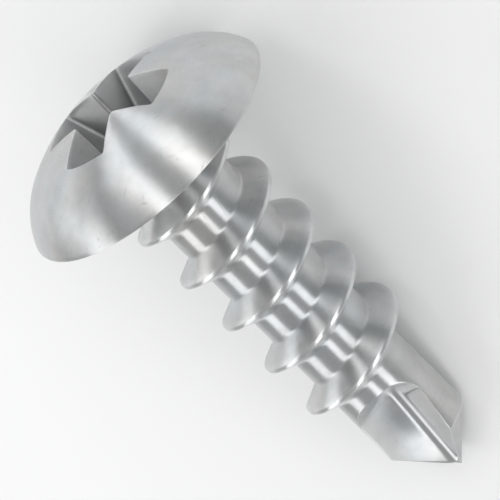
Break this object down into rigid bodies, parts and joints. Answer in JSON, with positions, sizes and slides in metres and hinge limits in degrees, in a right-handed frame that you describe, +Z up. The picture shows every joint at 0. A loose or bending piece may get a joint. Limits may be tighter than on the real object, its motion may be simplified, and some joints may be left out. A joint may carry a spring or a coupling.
{
  "type": "self drilling screw",
  "caption": "Short steel screw with a domed truss head, cross recess, coarse spaced thread and two-fluted drill point, lying on its side.",
  "frame": {"origin": "on the surface that the screw lies on, under the middle of its outline", "axes": "+X from the head towards the drill point, level; +Z up; the screw's axis lies in the XZ plane and falls towards the point"},
  "size_m": [0.0179, 0.0098, 0.0095],
  "materials": {
    "screw_steel": "bright metal, smooth and lightly burnished along the axis"
  },
  "bodies": {
    "root": {"screw": "screw_steel"}
  },
  "joints": []
}
